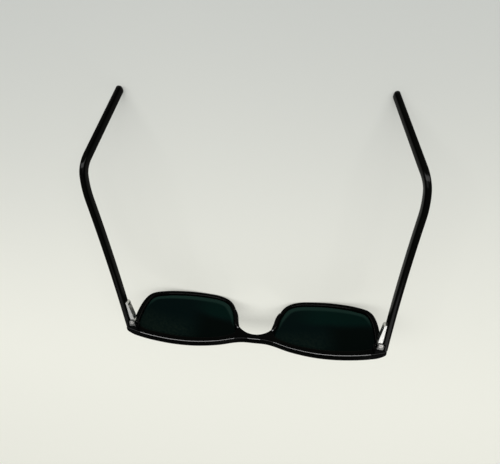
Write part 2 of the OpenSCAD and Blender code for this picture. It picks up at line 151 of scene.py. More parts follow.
# Where the standing glasses are, from the hinge that the frame gives
joints = {j["name"]: j for j in frame["joints"]}
fold_axis = Vector(joints["fold_left"]["axis"])
fold_at = Vector(joints["fold_left"]["pos_m"]) / MM
rest_turn = (math.atan2(fold_axis.y, fold_axis.z)
             + math.atan(math.tan(RISE) * math.cos(SPLAY)))
front_corner = (half_w, wrap_y(half_w))
offset = turn2(temple_out, -HINGE_BACK, -SPLAY)
hinge_y = front_corner[1] - offset[1]
hinge_z = (brow_top - TEMPLE_DOWN - TEMPLE_H / 2 + HINGE_UP
           + front_corner[1] * math.sin(math.radians(FRONT_TILT)))
rest_z = fold_at.z - turn2(hinge_y, hinge_z, -rest_turn)[1]
leaning = (Matrix.Translation((0, 0, rest_z))
           @ Matrix.Rotation(math.radians(FRONT_TILT) - rest_turn, 4, "X"))


def hinge_frame(side, fold=True):
    """Frame of a hinge in millimetres: Z along its pin, Y back along its temple or, without
    fold, square to the end piece, and X outward."""
    pin = Vector(joints[f"fold_{side}"]["axis"])
    back = Vector(joints[f"flex_{side}"]["axis"])
    if side == "right":
        pin = -pin
    elif not fold:
        other = Vector(joints["flex_right"]["axis"])
        back = Vector((-other.x, other.y, other.z))
    out = back.cross(pin)
    if side == "right":
        out = -out
    at = Vector(joints[f"fold_{side}"]["pos_m"]) / MM
    made = Matrix((out, back, pin)).transposed().to_4x4()
    made.translation = at
    return made


def spline(points, closed, steps=10):
    """Points of a smooth curve through the given ones."""
    p = np.array(points, float)
    n = len(p)
    made = []
    for i in range(n if closed else n - 1):
        if closed:
            a, b, c, d = (p[(i + k) % n] for k in (-1, 0, 1, 2))
        else:
            a, b, c, d = (p[clip(i + k, 0, n - 1)] for k in (-1, 0, 1, 2))
        for j in range(steps):
            k = j / steps
            made.append((2 * b + (c - a) * k + (2 * a - 5 * b + 4 * c - d) * k ** 2
                         + (3 * b - a - 3 * c + d) * k ** 3) / 2)
    if not closed:
        made.append(p[-1])
    return np.array(made)


def outward(loop):
    """Unit normals that point out of a closed anticlockwise loop."""
    t = np.roll(loop, -1, 0) - np.roll(loop, 1, 0)
    t /= np.linalg.norm(t, axis=1, keepdims=True)
    return np.stack([t[:, 1], -t[:, 0]], 1)


def resampled(loop, gap):
    """The closed loop with evenly spaced points about gap apart."""
    ring = np.vstack([loop, loop[:1]])
    length = np.concatenate([[0], np.cumsum(np.linalg.norm(np.diff(ring, axis=0), axis=1))])
    n = int(length[-1] / gap)
    at = np.arange(n) * length[-1] / n
    return np.stack([np.interp(at, length, ring[:, k]) for k in (0, 1)], 1)


def softened(loop, reach):
    """The closed loop with its corners rounded by a weighted mean over reach points to
    each side."""
    weights = [math.exp(-2 * (k / reach) ** 2) for k in range(-reach, reach + 1)]
    total = sum(w * np.roll(loop, -k, 0) for w, k in zip(weights, range(-reach, reach + 1)))
    return total / sum(weights)


def inside(loop, points):
    """True for each point that lies inside the closed loop."""
    points = np.atleast_2d(points)
    found = np.zeros(len(points), bool)
    x, z = points[:, 0], points[:, 1]
    for (x0, z0), (x1, z1) in zip(loop, np.roll(loop, -1, 0)):
        if z0 == z1:
            continue
        crosses = (z0 > z) != (z1 > z)
        found ^= crosses & (x < (x1 - x0) * (z - z0) / (z1 - z0) + x0)
    return found


def eye_point(q):
    return (LENS_GAP / 2 + q[0] / 100 * LENS_W, EYE_TOP + q[1] / 100 * LENS_H)


def mirrored(loop):
    """The loop on the other side of the middle, still anticlockwise."""
    return (np.array(loop) * [-1, 1])[::-1]


eye_loop = resampled(spline([eye_point(q) for q in EYE_SHAPE], True), EYE_STEP)


def rim_loop():
    """Outer edge of a rim, which is narrower beside the nose."""
    k = np.clip((eye_loop[:, :1] - LENS_GAP / 2) / (NOSE_SHARE * LENS_W), 0, 1)
    return eye_loop + outward(eye_loop) * mix(NOSE_RIM_W, RIM_W, k)


def front_outline():
    """Outer edge of the whole front, anticlockwise from the arch over the nose."""
    brow = spline([(q[0] / 100 * half_w, brow_top + q[1] / 100 * BRIDGE_DROP)
                   for q in BROW_SHAPE], False)
    ends = [(half_w - x, end_low + z) for x, z in reversed(END_CUT)]
    bar = np.array(ends + list(brow[::-1])
                   + [(0, bridge_low - WEB_H), (LENS_GAP / 2, bridge_low - WEB_H),
                      (LENS_GAP, end_low)])
    rim = rim_loop()
    arch = np.array([(NOSE_R * math.sin(a), bridge_low - NOSE_R + NOSE_R * math.cos(a))
                     for a in np.radians(np.arange(0, ARCH_DEG, ARCH_STEP))])
    arch = arch[:np.argmin(inside(bar, arch) | inside(rim, arch))]
    ends = [e for e in ends if not inside(rim, e)[0]]
    # From the arch's end, the rim's edge goes on as far as the end piece
    first = np.argmin(np.linalg.norm(rim - arch[-1], axis=1)) + 1
    rim = np.roll(rim, -first, 0)
    rim = rim[:np.argmax(inside(bar, rim) & (rim[:, 0] > half_w - END_REACH))]
    half = np.vstack([arch, rim, ends, brow[::-1]])
    whole = np.vstack([half, mirrored(half)[1:-1]])
    return softened(resampled(whole, FRONT_STEP), FRONT_SOFT)


def fill(loops, gap):
    """Grid points and triangles of the flat region inside the first loop and outside the
    others. The loops' own points come first."""
    points = [tuple(p) for loop in loops for p in loop]
    edges, start = [], 0
    for loop in loops:
        n = len(loop)
        edges += [(start + i, start + (i + 1) % n) for i in range(n)]
        start += n
    lo, hi = np.min(loops[0], 0), np.max(loops[0], 0)
    row_gap = 0.87 * gap
    grid = np.array([(x + (row % 2) * gap / 2, z)
                     for row, z in enumerate(np.arange(lo[1], hi[1], row_gap))
                     for x in np.arange(lo[0], hi[0], gap)])
    keep = inside(loops[0], grid)
    for loop in loops[1:]:
        keep &= ~inside(loop, grid)
    edge = np.array(points)
    near = np.array([np.min(np.sum((edge - g) ** 2, 1)) < (gap / 2) ** 2 for g in grid])
    points += [tuple(g) for g in grid[keep & ~near]]
    verts, _, faces, _, _, _ = delaunay_2d_cdt([Vector(p) for p in points], edges, [], 0, 1e-6)
    verts = np.array([tuple(v) for v in verts])
    middle = np.array([verts[list(f)].mean(0) for f in faces])
    keep = inside(loops[0], middle)
    for loop in loops[1:]:
        keep &= ~inside(loop, middle)
    return verts, [tuple(f) for f, k in zip(faces, keep) if k]


class Solid:
    """Points and faces of a mesh in the making, in millimetres."""

    def __init__(self):
        self.points, self.faces = [], []

    def add(self, points):
        start = len(self.points)
        self.points += [tuple(float(c) for c in p) for p in points]
        return list(range(start, len(self.points)))

    def skin(self, rows, capped=False):
        """Faces between each ring of points and the next and, if capped, over both ends."""
        for a, b in zip(rows, rows[1:]):
            for i in range(len(a)):
                j = (i + 1) % len(a)
                self.faces.append((a[i], a[j], b[j], b[i]))
        if capped:
            self.faces += [tuple(rows[0]), tuple(rows[-1])]

    def mesh(self, name, place, body, slot, material, sharp=40):
        """The finished piece, which rides on a body. The slot of the record is not used."""
        data = bpy.data.meshes.new(name)
        data.from_pydata(self.points, [], self.faces)
        data.transform(Matrix.Scale(MM, 4) @ place)
        piece = bpy.data.objects.new(name, data)
        bpy.context.scene.collection.objects.link(piece)
        tidy_mesh(data, sharp)
        data.materials.append(material)
        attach(piece, body)
        return piece


def own_look(piece, material, chosen):
    """Gives a material of their own to the piece's faces that are chosen by their normal
    and their place, both in the front's own frame."""
    piece.data.materials.append(material)
    back = leaning.inverted()
    for face in piece.data.polygons:
        if chosen(back.to_3x3() @ face.normal, back @ (face.center / MM)):
            face.material_index = len(piece.data.materials) - 1


def tidy_mesh(data, sharp):
    """Merges double points, turns the faces outward and smooths what turns by less than
    sharp degrees."""
    bm = bmesh.new()
    bm.from_mesh(data)
    bmesh.ops.remove_doubles(bm, verts=bm.verts, dist=2 * TOUCHING)
    bmesh.ops.dissolve_degenerate(bm, edges=bm.edges, dist=TOUCHING)
    bmesh.ops.recalc_face_normals(bm, faces=bm.faces)
    bm.to_mesh(data)
    bm.free()
    data.shade_smooth()
    data.set_sharp_from_angle(angle=math.radians(sharp))


def arc(r, n=6):
    """Steps of a quarter round as (distance in, depth), from the flat to the side."""
    angles = [math.pi / 2 * k / n for k in range(n + 1)]
    return [(r * (1 - math.sin(a)), r * (1 - math.cos(a))) for a in angles]


def edge_profile(depth, back_r, front_r, walls=()):
    """Rings of an edge as (distance into the material, depth), from the back to the front.
    One more ring on each face keeps it flat beside its rounding."""
    support = 0.3
    back = [(back_r + support, 0)] + arc(back_r)
    front = [(g, depth - t) for g, t in reversed([(front_r + support, 0)] + arc(front_r))]
    return back + list(walls) + front


def plate(outer, holes, outer_rings, hole_rings, at, gap, ease=1):
    """Solid between a back and a front face, with ringed edges. at gives the place of
    (x, z, depth), gap is the distance between the points of the faces, and ease is how many
    points to each side the outer edge's rings take to turn a corner."""
    made = Solid()
    loops = [(outer, outer_rings, -1)] + [(hole, hole_rings, 1) for hole in holes]
    ends = {0: [], -1: []}
    for loop, rings, way in loops:
        out = outward(softened(loop, ease) if way < 0 else loop)
        made.skin([made.add([at(x, z, t) for x, z in loop + out * way * g])
                   for g, t in rings])
        for k in ends:
            ends[k].append((loop + out * way * rings[k][0], rings[k][1]))
    for sides in ends.values():
        points, faces = fill([side[0] for side in sides], gap)
        start = made.add([at(x, z, sides[0][1]) for x, z in points])[0]
        made.faces += [tuple(start + i for i in f) for f in faces]
    return made


def soft_max(a, b, soft):
    """The larger of two values, with a rounded change where they differ by less than soft."""
    near = max(soft - abs(a - b), 0)
    return max(a, b) + near ** 2 / (4 * soft)


def bent(x, z, depth):
    """Place on the curved plate of the front or a lens."""
    return (x, wrap_y(x, depth), z)


def bent_end(x, z, depth):
    """Place on the front, whose end pieces have a chamfered outer corner."""
    y = wrap_y(x, depth)
    cut = abs(x) - half_w + wrap_y(half_w) - FRONT_D + END_CHAMFER
    share = clip((abs(x) - half_w + CHAMFER_REACH) / CHAMFER_FADE, 0, 1)
    if share > 0:
        y = mix(y, soft_max(y, cut, CHAMFER_SOFT), share)
    return (x, y, z)


# Materials
def new_material(name, colour, rough, metal=0.0, specular=0.5):
    """A Principled material, its node tree and its shader."""
    material = bpy.data.materials.new(name)
    material.use_nodes = True
    nodes = material.node_tree.nodes
    shader = nodes["Principled BSDF"]
    shader.inputs["Base Color"].default_value = (*colour, 1)
    shader.inputs["Roughness"].default_value = rough
    shader.inputs["Metallic"].default_value = metal
    shader.inputs["Specular IOR Level"].default_value = specular
    return material, material.node_tree, shader


def noise(tree, scale, detail, stretch=(1, 1, 1), rough=0.5):
    """Noise over the piece's own coordinates, which are in metres."""
    place = tree.nodes.new("ShaderNodeTexCoord")
    move = tree.nodes.new("ShaderNodeMapping")
    move.inputs["Scale"].default_value = stretch
    grain = tree.nodes.new("ShaderNodeTexNoise")
    grain.inputs["Scale"].default_value = scale
    grain.inputs["Detail"].default_value = detail
    grain.inputs["Roughness"].default_value = rough
    tree.links.new(place.outputs["Object"], move.inputs["Vector"])
    tree.links.new(move.outputs["Vector"], grain.inputs["Vector"])
    return grain.outputs["Fac"]


def ramp(tree, value, stops):
    """Colours or greys over a value, as (place, colour) stops."""
    made = tree.nodes.new("ShaderNodeValToRGB")
    tree.links.new(value, made.inputs["Fac"])
    elements = made.color_ramp.elements
    while len(elements) < len(stops):
        elements.new(0.5)
    for element, (place, colour) in zip(elements, stops):
        element.position = place
        element.color = (*colour, 1)
    return made.outputs["Color"]


def grey(value):
    return (value, value, value)


def add_bump(tree, shader, value, strength, distance):
    bump = tree.nodes.new("ShaderNodeBump")
    bump.inputs["Strength"].default_value = strength
    bump.inputs["Distance"].default_value = distance
    tree.links.new(value, bump.inputs["Height"])
    tree.links.new(bump.outputs["Normal"], shader.inputs["Normal"])


# Scales of the noise in the plastic's colour, gloss and scratches
PATCHES, SMEARS, SCRATCHES = 90, 260, 1500
# Scales of the noise that shifts the painted zones of light, shade and reflection on the lens,
# and in its painted hazy reflection and its gloss
LENS_CLOUDS, LENS_GRAIN, LENS_SMEARS = 40, 900, 60


def plastic(name, colour, rough, stretch, specular):
    """Black plastic with handling marks: soft patches in its colour, smears in its gloss
    and fine scratches along it."""
    material, tree, shader = new_material(name, colour, rough, specular=specular)
    darkest, lightest = (tuple(share * c for c in colour) for share in (0.6, 1.7))
    glossiest, dullest = grey(0.8 * rough), grey(1.45 * rough)
    patches = ramp(tree, noise(tree, PATCHES, 4), [(0.35, darkest), (0.68, lightest)])
    smears = ramp(tree, noise(tree, SMEARS, 5, stretch), [(0.4, glossiest), (0.7, dullest)])
    tree.links.new(patches, shader.inputs["Base Color"])
    tree.links.new(smears, shader.inputs["Roughness"])
    add_bump(tree, shader, noise(tree, SCRATCHES, 2, stretch), 0.08, 0.02 * MM)
    return material


def metal(name, colour, rough, stretch, scale=3500):
    """Satin metal with a fine brushed grain."""
    material, tree, shader = new_material(name, colour, rough, metal=1.0)
    darkest, lightest = (tuple(share * c for c in colour) for share in (0.82, 1.1))
    dullest, glossiest = grey(1.25 * rough), grey(0.8 * rough)
    grain = noise(tree, scale, 4, stretch, 0.6)
    tree.links.new(ramp(tree, grain, [(0.3, darkest), (0.7, lightest)]),
                   shader.inputs["Base Color"])
    tree.links.new(ramp(tree, grain, [(0.3, dullest), (0.7, glossiest)]),
                   shader.inputs["Roughness"])
    add_bump(tree, shader, grain, 0.2, 0.005 * MM)
    return material


def smooth_range(tree, value, start, end):
    """Smooth share from 0 at start to 1 at end, whichever is the larger."""
    made = tree.nodes.new("ShaderNodeMapRange")
    made.interpolation_type = "SMOOTHSTEP"
    lo, hi = min(start, end), max(start, end)
    made.inputs["From Min"].default_value = lo
    made.inputs["From Max"].default_value = hi
    made.inputs["To Min"].default_value = 0.0 if start < end else 1.0
    made.inputs["To Max"].default_value = 1.0 if start < end else 0.0
    tree.links.new(value, made.inputs["Value"])
    return made.outputs["Result"]


def calculated(tree, operation, a, b):
    """Result of a Math node, whose two inputs are each a socket or a number."""
    made = tree.nodes.new("ShaderNodeMath")
    made.operation = operation
    for socket, value in zip(made.inputs, (a, b)):
        if isinstance(value, (int, float)):
            socket.default_value = value
        else:
            tree.links.new(value, socket)
    return made.outputs["Value"]


def blended(tree, share, under, over):
    """Colour between two colours, each a socket or three numbers."""
    made = tree.nodes.new("ShaderNodeMix")
    made.data_type = "RGBA"
    tree.links.new(share, made.inputs["Factor"])
    for name, colour in (("A", under), ("B", over)):
        socket = [i for i in made.inputs if i.name == name and i.type == "RGBA"][0]
        if isinstance(colour, tuple):
            socket.default_value = (*colour, 1)
        else:
            tree.links.new(colour, socket)
    return [o for o in made.outputs if o.type == "RGBA"][0]


# Colour of the dark green lens tint, and of the painted light, painted reflections and painted
# shade laid over it
LENS_PAINTED_LIGHT, LENS_DEEP = (0.0075, 0.0205, 0.0165), (0.0003, 0.0024, 0.0028)
LENS_PAINTED_GREEN_REFLECTION, LENS_PAINTED_HAZE_REFLECTION = (0.0002, 0.0058, 0.0046), (0.0056, 0.0096, 0.0070)
LENS_PAINTED_SHADE = (0.0001, 0.0002, 0.0002)
# Where each painted zone begins and where it is full: up is the height on a lens, across runs to
# the wearer's left on it, tilt is a height that falls across it, and the painted band of light
# is in millimetres from the rim
PAINTED_GREEN_TILT, PAINTED_GREEN_ACROSS = (0.30, 0.10), (0.35, 0.85)
PAINTED_SHADE_TILT, PAINTED_SHADE_ACROSS = (0.14, 0.36), (0.42, 0.8)
PAINTED_HAZE_UP, PAINTED_HAZE_ACROSS, PAINTED_HAZE_GRAIN = (0.55, 1.1), (0.9, 0.3), (0.2, 0.8)
PAINTED_BAND_MM, PAINTED_BAND_UP = (4.4, 2.4), (0.85, 0.3)
# Fall of the tilt, more fall and a wider painted green reflection on the left lens, and how far
# clouds shift the painted zones
TILT_FALL, LEFT_FALL, LEFT_PAINTED_GREEN, CLOUD_SHIFT = 0.3, 0.16, 0.35, 0.2
RIM_MM = "rim_mm"


def lens_glass(name, specular, tint):
    """Dark green tint, with painted light along the lower edge, a painted green reflection and
    painted shade across it, and a painted hazy reflection under the brow.
    """
    material, tree, shader = new_material(name, LENS_DEEP, 0.06, specular=specular)
    shader.inputs["Specular Tint"].default_value = (*tint, 1)
    place = tree.nodes.new("ShaderNodeTexCoord")
    split = tree.nodes.new("ShaderNodeSeparateXYZ")
    tree.links.new(place.outputs["Object"], split.inputs["Vector"])
    x, z = split.outputs["X"], split.outputs["Z"]
    low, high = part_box("lens_left")

    def times(a, b):
        return calculated(tree, "MULTIPLY", a, b)

    def zone(value, ends):
        return smooth_range(tree, value, *ends)

    up = calculated(tree, "ADD", zone(z, (low.z, high.z)),
                    times(noise(tree, LENS_CLOUDS, 3), CLOUD_SHIFT))
    outer = zone(calculated(tree, "ABSOLUTE", x, 0), (low.x, high.x))
    left = calculated(tree, "GREATER_THAN", x, 0)
    right = calculated(tree, "SUBTRACT", 1, left)
    across = calculated(tree, "ABSOLUTE", calculated(tree, "SUBTRACT", right, outer), 0)
    fall = calculated(tree, "ADD", times(across, TILT_FALL), times(left, LEFT_FALL))
    tilt = calculated(tree, "SUBTRACT", up, fall)
    share = calculated(tree, "ADD", across, times(left, LEFT_PAINTED_GREEN))
    # Painted green reflection, painted shade in near black, a painted hazy reflection under the
    # brow and a painted band of light along the lower rim
    painted_green = times(zone(tilt, PAINTED_GREEN_TILT), zone(share, PAINTED_GREEN_ACROSS))
    painted_shade = times(zone(tilt, PAINTED_SHADE_TILT), zone(across, PAINTED_SHADE_ACROSS))
    painted_haze = times(times(zone(up, PAINTED_HAZE_UP), zone(across, PAINTED_HAZE_ACROSS)),
                 zone(noise(tree, LENS_GRAIN, 4), PAINTED_HAZE_GRAIN))
    edge = tree.nodes.new("ShaderNodeAttribute")
    edge.attribute_name = RIM_MM
    painted_band = times(zone(edge.outputs["Fac"], PAINTED_BAND_MM), zone(up, PAINTED_BAND_UP))
    colour = blended(tree, painted_green, LENS_DEEP, LENS_PAINTED_GREEN_REFLECTION)
    colour = blended(tree, painted_haze, colour, LENS_PAINTED_HAZE_REFLECTION)
    colour = blended(tree, painted_shade, colour, LENS_PAINTED_SHADE)
    colour = blended(tree, painted_band, colour, LENS_PAINTED_LIGHT)
    tree.links.new(colour, shader.inputs["Base Color"])
    smears = ramp(tree, noise(tree, LENS_SMEARS, 5), [(0.4, grey(0.03)), (0.75, grey(0.11))])
    tree.links.new(smears, shader.inputs["Roughness"])
    return material


# The floor's pale colour, and a darker far colour that is painted shade towards the back
FLOOR_NEAR, FLOOR_FAR_PAINTED_SHADE = (0.86, 0.86, 0.78), (0.50, 0.515, 0.495)
# Places in Y where the floor's near colour ends and its painted shade is full, how far clouds
# shift them, and the clouds' scale
FLOOR_SHADE_FADE, FLOOR_SHIFT, FLOOR_CLOUDS = (-0.06, 0.28), 0.06, 3
# Share of its own colour that the floor adds where it is seen or mirrored
FLOOR_GLOW = 0.45


def floor_paper(name):
    """Pale matt paper, with painted shade that darkens it from a near colour to a far one."""
    material, tree, shader = new_material(name, FLOOR_NEAR, 0.6, specular=0.2)
    place = tree.nodes.new("ShaderNodeTexCoord")
    split = tree.nodes.new("ShaderNodeSeparateXYZ")
    tree.links.new(place.outputs["Object"], split.inputs["Vector"])
    clouds = calculated(tree, "MULTIPLY", noise(tree, FLOOR_CLOUDS, 1), FLOOR_SHIFT)
    depth = calculated(tree, "ADD", split.outputs["Y"], clouds)
    # Painted shade: the floor's colour darkens towards the back
    tint = blended(tree, smooth_range(tree, depth, *FLOOR_SHADE_FADE), FLOOR_NEAR, FLOOR_FAR_PAINTED_SHADE)
    tree.links.new(tint, shader.inputs["Base Color"])
    rays = tree.nodes.new("ShaderNodeLightPath").outputs
    seen = calculated(tree, "MAXIMUM", rays["Is Camera Ray"], rays["Is Glossy Ray"])
    seen = calculated(tree, "MAXIMUM", seen, rays["Is Transmission Ray"])
    glow = tree.nodes.new("ShaderNodeEmission")
    tree.links.new(tint, glow.inputs["Color"])
    both = tree.nodes.new("ShaderNodeMixShader")
    tree.links.new(calculated(tree, "MULTIPLY", seen, FLOOR_GLOW), both.inputs["Fac"])
    tree.links.new(shader.outputs["BSDF"], both.inputs[1])
    tree.links.new(glow.outputs["Emission"], both.inputs[2])
    tree.links.new(both.outputs["Shader"], tree.nodes["Material Output"].inputs["Surface"])
    return material


# Stretches of the noise, which draw its grain out along one axis
ALONG_X, ALONG_Y = (0.15, 1, 1), (1, 0.12, 1)
front_plastic = plastic("front_plastic", (0.0007, 0.0007, 0.0007), 0.1, ALONG_X, 0.1)
edge_plastic = plastic("edge_plastic", (0.0007, 0.0007, 0.0007), 0.05, ALONG_X, 0.9)
matt_plastic = plastic("matt_plastic", (0.0006, 0.0007, 0.0006), 0.25, ALONG_X, 0.02)
temple_plastic = plastic("temple_plastic", (0.0008, 0.0009, 0.0006), 0.12, ALONG_Y, 0.09)
inner_plastic = plastic("inner_plastic", (0.0007, 0.0008, 0.0006), 0.2, ALONG_Y, 0.03)
pad_plastic = plastic("pad_plastic", (0.0006, 0.0006, 0.0007), 0.16, ALONG_X, 0.03)
# Both lens materials carry painted light, painted reflections and painted shade over their dark
# green tint
lens_tint = lens_glass("lens_tint", 0.3, (0.7, 1.0, 0.95))
lens_back = lens_glass("lens_back", 0.03, (0.3, 1.0, 0.85))
hinge_metal = metal("hinge_metal", (0.50, 0.50, 0.48), 0.2, ALONG_Y)
leaf_metal = metal("leaf_metal", (0.13, 0.13, 0.125), 0.26, ALONG_X)
screw_metal = metal("screw_metal", (0.46, 0.45, 0.43), 0.3, (1, 1, 0.3), 1400)
core_metal = metal("core_metal", (0.58, 0.58, 0.57), 0.34, ALONG_Y)
spring_steel = metal("spring_steel", (0.50, 0.50, 0.51), 0.3, (1, 1, 1), 1800)


# Front
outline = front_outline()
eyes = [eye_loop, mirrored(eye_loop)]
groove = [(0, tongue_set - SEAT_GAP), (GROOVE_D, tongue_set - SEAT_GAP),
          (GROOVE_D, tongue_set + TONGUE_W + SEAT_GAP), (0, tongue_set + TONGUE_W + SEAT_GAP)]
side_wall = [(0, FRONT_D * WALL_RING)]
front = plate(outline, eyes, edge_profile(FRONT_D, RIM_BACK_R, RIM_FACE_R, side_wall),
              edge_profile(FRONT_D, EYE_BACK_R, EYE_FACE_R, groove), bent_end, FACE_STEP,
              FRONT_EASE)
front_skin = front.mesh("front_skin", leaning, "front", "frame_plastic", front_plastic)
# Least backward part of a normal on the back face, on the rounding above it and on the top
BACK_FACE, ROUNDING, TOP_BACK = 0.8, 0.45, -0.1
# Least upward part of a normal on the top and on the brow's edge
TOP_FACE, EDGE_UP = 0.6, 0.35
# Glossy edge: half its length on the bridge, how far it stays from the front's ends, and how
# far down it reaches under the bridge's top
BRIDGE_EDGE, END_EDGE, EDGE_DOWN = 3.5, 8.0, 1.0


def is_back_or_top(normal, at):
    """Whether a face is on the front's back face or on its top."""
    return (normal.y > BACK_FACE
            or (TOP_BACK < normal.y < ROUNDING and normal.z > TOP_FACE))


def is_brow_edge(normal, at):
    """Whether a face is on the brow's back edge, where it has a gloss of its own."""
    return (ROUNDING <= normal.y <= BACK_FACE and normal.z > EDGE_UP
            and at.z > brow_top - BRIDGE_DROP - EDGE_DOWN
            and (abs(at.x) < BRIDGE_EDGE or LENS_GAP / 2 < abs(at.x) < half_w - END_EDGE))


own_look(front_skin, matt_plastic, is_back_or_top)
own_look(front_skin, edge_plastic, is_brow_edge)
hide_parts("front_frame")


def rounded_box(x, z, r, far_r, n=5):
    """Anticlockwise section of a bar between two places in X and in Z. far_r rounds the
    corners of its far side in X."""
    (x0, x1), (z0, z1) = x, z
    least_flat = 0.01
    most = min((x1 - x0) / 2, (z1 - z0) / 2) - least_flat
    r, q = min(r, most), min(far_r, most)
    corners = [(x1 - q, z1 - q, 0, q), (x0 + r, z1 - r, 90, r), (x0 + r, z0 + r, 180, r),
               (x1 - q, z0 + q, 270, q)]
    return np.array([(cx + c * math.cos(math.radians(a + 90 * k / n)),
                      cz + c * math.sin(math.radians(a + 90 * k / n)))
                     for cx, cz, a, c in corners for k in range(n + 1)])


def shrunk(section, d):
    """The section moved in by d all round."""
    return section - outward(section) * d


# Blocks behind the end pieces, which hold the hinge leaves. Their sections are marked by how
# far they are moved in and by their distance from the block's back end.
BLOCK_ROW, BLOCK_ROWS = 0.5, 6
block_marks = ([(0, BLOCK_D - BLOCK_ROW * k) for k in range(BLOCK_ROWS)]
               + arc(END_R, END_STEPS)[::-1])
# Outer part of a lens opening's edge, from the bottom to the top
OUTER_FROM = LENS_GAP / 2 + 0.6 * LENS_W
eye_outer = eye_loop[eye_loop[:, 0] > OUTER_FROM]
eye_outer = eye_outer[np.argsort(eye_outer[:, 1])]


def in_front(point):
    """The point, moved out of the lens opening and, where it is let into the front, kept
    within the front's own faces."""
    x, y, z = leaning.inverted() @ point
    way = math.copysign(1, x)
    x = abs(x)
    if eye_outer[0, 1] < z < eye_outer[-1, 1]:
        x = max(x, np.interp(z, eye_outer[:, 1], eye_outer[:, 0]))
    sunk = clip((wrap_y(x, COVER_BACK) - y) / COVER, 0, 1)
    if sunk > 0:
        x = min(x, half_w - COVER * sunk)
        y = max(y, wrap_y(x, 2 * COVER))
        z = min(z, brow_top - COVER_UP - COVER * sunk)
    return leaning @ Vector((way * x, y, z))


for side in SIDES:
    block = Solid()
    height = (-STACK_H / 2 - BLOCK_UNDER, TEMPLE_H / 2 - HINGE_UP - BLOCK_LOW)
    section = rounded_box((-leaf_in - BLOCK_SIDE, temple_out), height, EDGE_R, EDGE_R)
    section = resampled(section, BLOCK_STEP)
    rows = []
    for d, t in block_marks:
        ring = [hinge_frame(side, False) @ Vector((x, -HINGE_BACK - t, z))
                for x, z in shrunk(section, d)]
        rows.append(block.add([in_front(point) for point in ring]))
    block.skin(rows, capped=True)
    piece = block.mesh(f"end_block_{side}", Matrix.Identity(4), "front", "frame_plastic",
                       front_plastic)
    own_look(piece, matt_plastic, lambda n, at: n.z > TOP_FACE or n.y > BACK_FACE)
    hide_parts("front_frame")


# Lenses
tongue_end, lens_face = tongue_set + TONGUE_W, LENS_SET + LENS_T
# Rings on a lens face: how far the inmost is from the one beside the edge, and the width and
# depth of a slight rounding at the edge
LENS_INNER, LENS_SOFT, LENS_EASE = 0.35, 0.05, 0.02
lens_rings = [(LENS_BEVEL + LENS_INNER, LENS_SET), (LENS_BEVEL + LENS_SOFT, LENS_SET),
              (LENS_BEVEL, LENS_SET + LENS_EASE), (SEAT_GAP, LENS_SET + LENS_BEVEL),
              (SEAT_GAP, tongue_set), (SEAT_GAP - GROOVE_D, tongue_set),
              (SEAT_GAP - GROOVE_D, tongue_end), (SEAT_GAP, tongue_end),
              (SEAT_GAP, lens_face - LENS_FACE_R), (LENS_FACE_R, lens_face - LENS_EASE),
              (LENS_FACE_R + LENS_SOFT, lens_face),
              (LENS_FACE_R + LENS_SOFT + LENS_INNER, lens_face)]
# Least backward part of a normal on the back of a lens
LENS_BACK = 0.3
# The painted band of light along the rim is thin, the first share below of its width, down to
# the second share of the lens's height, and has its whole width from the third share on
PAINTED_BAND_THIN, PAINTED_BAND_FROM, PAINTED_BAND_FULL = 0.22, 0.35, 0.9
for side, loop in zip(SIDES, eyes):
    lens = plate(loop, [], lens_rings, [], bent, LENS_STEP)
    piece = lens.mesh(f"lens_{side}_glass", leaning, "front", "lens_tint", lens_tint,
                      sharp=20)
    own_look(piece, lens_back, lambda n, at: n.y > LENS_BACK)
    # Distance from the rim, which places the painted band of light
    distance = piece.data.attributes.new(RIM_MM, "FLOAT", "POINT")
    for vertex, value in zip(piece.data.vertices, distance.data):
        at = leaning.inverted() @ (vertex.co / MM)
        drop = clip((EYE_TOP - at.z) / LENS_H, 0, 1)
        full = clip((drop - PAINTED_BAND_FROM) / (PAINTED_BAND_FULL - PAINTED_BAND_FROM), 0, 1)
        value.value = (np.min(np.hypot(loop[:, 0] - at.x, loop[:, 1] - at.z))
                       / mix(PAINTED_BAND_THIN, 1.0, full))
    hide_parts(f"lens_{side}")


# Nose pads
def pad_top(x):
    """How far behind the rim a pad reaches at x: it slopes down towards the nose."""
    slope = (PAD_PROUD - PAD_LOW) / math.cos(PAD_SLOPE)
    slope += (x - LENS_GAP / 2 + NOSE_RIM_W / 2) * math.tan(PAD_SLOPE)
    return -soft_max(-PAD_PROUD, -slope, PAD_SOFT)


def domed(share, power):
    """Height of a dome from 1 in its middle to 0 at a share of 1 or -1."""
    return (1 - abs(share) ** power) ** 0.5


def pad_ring(x, z, along):
    """Section of a pad at its middle line's point (x, z), where along runs from -1 to 1."""
    ring = []
    for share in PAD_SHARES:
        px = x + PAD_W / 2 * domed(along, 4) * share
        high = pad_top(px) * domed(share, 4) * domed(along, 6)
        ring.append((px, wrap_y(px) + high, z))
    under = [(px, wrap_y(px) - PAD_SUNK, z) for px, _, z in ring[-2:0:-1]]
    return ring + under


# Rings between two places of a pad's shape, and steps across a pad
PAD_ROWS, PAD_ACROSS = 8, 12
PAD_SHARES = [math.sin(math.pi / 2 * (2 * k / PAD_ACROSS - 1)) for k in range(PAD_ACROSS + 1)]
# Least upward and backward parts of a normal on a pad's upper end
PAD_UP, PAD_BACK = 0.3, 0.1
pad_line = spline([(eye_point(q)[0] - NOSE_RIM_W / 2 - PAD_OFF, eye_point(q)[1])
                   for q in PAD_SHAPE], False, PAD_ROWS)
for side, way in SIDES.items():
    pad = Solid()
    pad.skin([pad.add([(way * px, py, pz)
                       for px, py, pz in pad_ring(x, z, 2 * i / (len(pad_line) - 1) - 1)])
              for i, (x, z) in enumerate(pad_line)])
    piece = pad.mesh(f"nose_pad_{side}_skin", leaning, "front", "pad_plastic", pad_plastic,
                     sharp=60)
    own_look(piece, edge_plastic, lambda n, at: n.z > PAD_UP and n.y > PAD_BACK)
    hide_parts(f"nose_pad_{side}")


